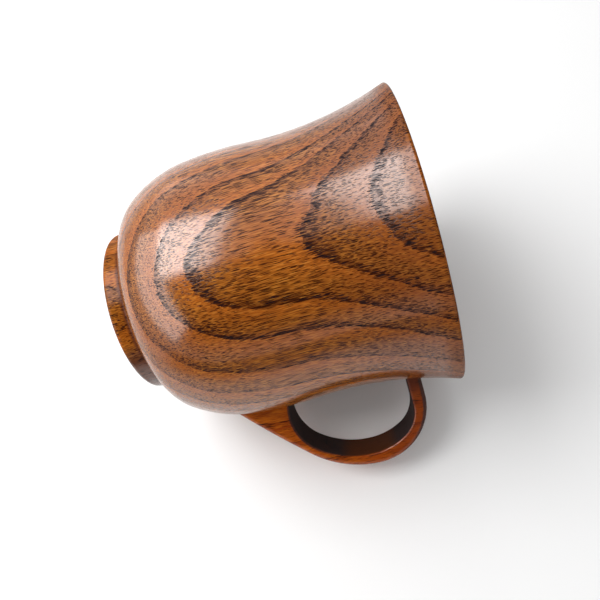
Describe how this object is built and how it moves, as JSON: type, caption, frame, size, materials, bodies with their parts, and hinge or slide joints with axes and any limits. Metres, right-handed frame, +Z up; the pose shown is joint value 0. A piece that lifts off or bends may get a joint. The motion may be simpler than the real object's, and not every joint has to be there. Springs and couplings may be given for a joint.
{
  "type": "wooden cup with handle",
  "caption": "Turned wooden teacup with a flared lip, a turned foot ring and a glued-on sawn loop handle, for hot or cold drinks.",
  "frame": {"origin": "centre of the foot ring's resting plane, on the cup's turning axis", "axes": "+Z up the turning axis from the foot to the rim, +X from the axis out through the middle of the handle"},
  "size_m": [0.1116, 0.09, 0.0915],
  "materials": {
    "bowl_wood": "satin lacquer",
    "handle_wood": "satin lacquer",
    "dowel_wood": "matte"
  },
  "bodies": {
    "root": {"turned_bowl": "bowl_wood", "loop_handle": "handle_wood", "upper_dowel": "dowel_wood", "lower_dowel": "dowel_wood"}
  },
  "joints": []
}
